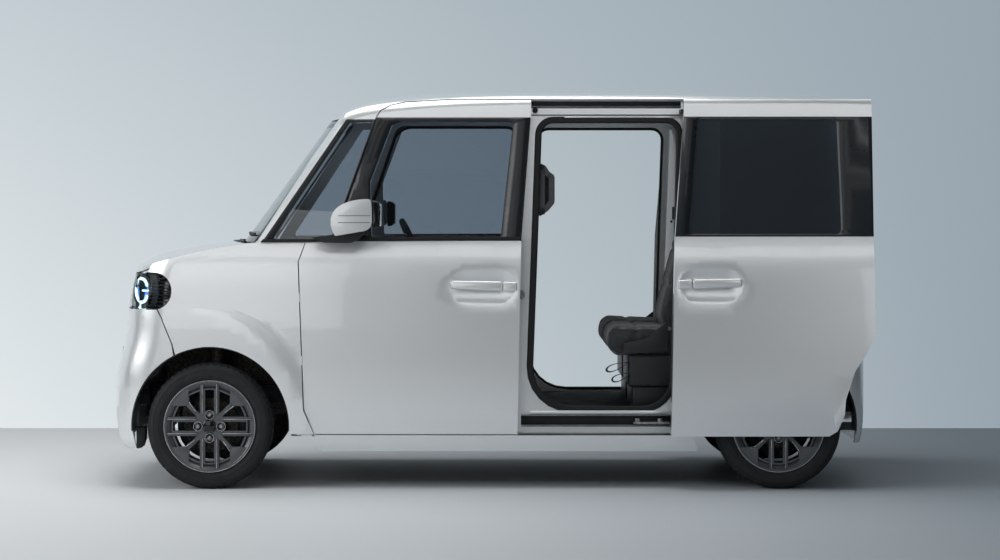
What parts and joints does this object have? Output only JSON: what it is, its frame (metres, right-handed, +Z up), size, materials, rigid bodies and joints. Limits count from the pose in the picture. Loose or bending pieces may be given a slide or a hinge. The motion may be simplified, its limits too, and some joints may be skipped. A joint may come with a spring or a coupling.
{
  "type": "small tall-bodied passenger car",
  "caption": "Small tall-bodied city car with open sliding side doors, hinged front doors, bonnet and tailgate, steered front wheels and four free-turning wheels.",
  "frame": {"origin": "on the ground under the middle of the car's outline", "axes": "+X to the front, +Y to the car's left, +Z up"},
  "size_m": [3.395, 1.8, 1.7905],
  "materials": {
    "pearl_white": "gloss",
    "black_trim": "satin",
    "dark_glass": "clear",
    "clear_glass": "clear",
    "lamp": "gloss",
    "red_lamp": "gloss",
    "frame_steel": "satin",
    "cast_iron": "matt",
    "steel": "satin",
    "tyre": "matt",
    "wheel": "satin",
    "seat": "matt",
    "interior": "matt"
  },
  "bodies": {
    "body": {"sliding_door_left": "pearl_white", "sliding_door_right": "pearl_white", "side_frame_left": "pearl_white", "side_frame_right": "pearl_white", "roof": "pearl_white", "front_fenders": "pearl_white", "front_bumper": "pearl_white", "rear_bumper": "pearl_white", "sill_garnishes": "pearl_white", "sliding_glass": "dark_glass", "quarter_glass": "dark_glass", "windscreen": "clear_glass", "headlamps": "lamp", "tail_lamps": "red_lamp", "grille": "black_trim", "cowl": "black_trim", "slide_arms": "black_trim", "fuel_tank": "black_trim", "wheel_liners": "black_trim", "wheelhouse_sides": "black_trim", "floor_pan": "frame_steel", "engine_bay_frame": "frame_steel", "front_subframe": "frame_steel", "engine_block": "cast_iron", "rear_axle": "cast_iron", "exhaust": "steel", "steering_column": "steel", "dashboard": "interior", "front_seats": "seat", "rear_seats": "seat"},
    "bonnet": {"bonnet": "pearl_white"},
    "front_door_left": {"front_door_left": "pearl_white", "door_glass_left": "dark_glass", "mirror_left": "pearl_white"},
    "front_door_right": {"front_door_right": "pearl_white", "door_glass_right": "dark_glass", "mirror_right": "pearl_white"},
    "tailgate": {"tailgate": "pearl_white", "tailgate_glass": "dark_glass"},
    "knuckle_left": {"knuckle_left": "cast_iron"},
    "knuckle_right": {"knuckle_right": "cast_iron"},
    "steering_wheel": {"steering_wheel": "interior"},
    "wheel_front_left": {"tyre_front_left": "tyre", "rim_front_left": "wheel"},
    "wheel_front_right": {"tyre_front_right": "tyre", "rim_front_right": "wheel"},
    "wheel_rear_left": {"tyre_rear_left": "tyre", "rim_rear_left": "wheel"},
    "wheel_rear_right": {"tyre_rear_right": "tyre", "rim_rear_right": "wheel"}
  },
  "joints": [
    {"name": "spin_front_left", "type": "hinge", "parent": "knuckle_left", "child": "wheel_front_left", "pos_m": [1.2395, 0.6525, 0.2785], "axis": [0, 1, 0], "continuous": true},
    {"name": "spin_front_right", "type": "hinge", "parent": "knuckle_right", "child": "wheel_front_right", "pos_m": [1.2395, -0.6525, 0.2785], "axis": [0, 1, 0], "continuous": true},
    {"name": "spin_rear_left", "type": "hinge", "parent": "body", "child": "wheel_rear_left", "pos_m": [-1.2805, 0.6525, 0.2785], "axis": [0, 1, 0], "continuous": true},
    {"name": "spin_rear_right", "type": "hinge", "parent": "body", "child": "wheel_rear_right", "pos_m": [-1.2805, -0.6525, 0.2785], "axis": [0, 1, 0], "continuous": true},
    {"name": "steer_left", "type": "hinge", "parent": "body", "child": "knuckle_left", "pos_m": [1.2377, 0.5535, 0.279], "axis": [-0.0329, -0.1643, 0.9859], "range_deg": [-35, 35]},
    {"name": "steer_right", "type": "hinge", "parent": "body", "child": "knuckle_right", "pos_m": [1.2377, -0.5535, 0.279], "axis": [-0.0329, 0.1643, 0.9859], "range_deg": [-35, 35]},
    {"name": "steering_turn", "type": "hinge", "parent": "body", "child": "steering_wheel", "pos_m": [0.35, -0.35, 1.02], "axis": [-0.9063, 0, 0.4226], "range_deg": [-525, 525]},
    {"name": "front_door_left_hinge", "type": "hinge", "parent": "body", "child": "front_door_left", "pos_m": [0.8311, 0.719, 0.56], "axis": [-0.0389, 0.0268, -0.9989], "range_deg": [0, 70]},
    {"name": "front_door_right_hinge", "type": "hinge", "parent": "body", "child": "front_door_right", "pos_m": [0.8311, -0.719, 0.56], "axis": [0.0389, 0.0268, 0.9989], "range_deg": [0, 70]},
    {"name": "tailgate_hinge", "type": "hinge", "parent": "body", "child": "tailgate", "pos_m": [-1.6425, 0, 1.74292], "axis": [0, 1, 0], "range_deg": [0, 80]},
    {"name": "bonnet_hinge", "type": "hinge", "parent": "body", "child": "bonnet", "pos_m": [1.095, 0, 1.078], "axis": [0, -1, 0], "range_deg": [0, 50]}
  ],
  "couplings": [
    {"joint": "steer_right", "follows": "steer_left", "ratio": 1},
    {"joint": "steering_turn", "follows": "steer_left", "ratio": 15}
  ]
}
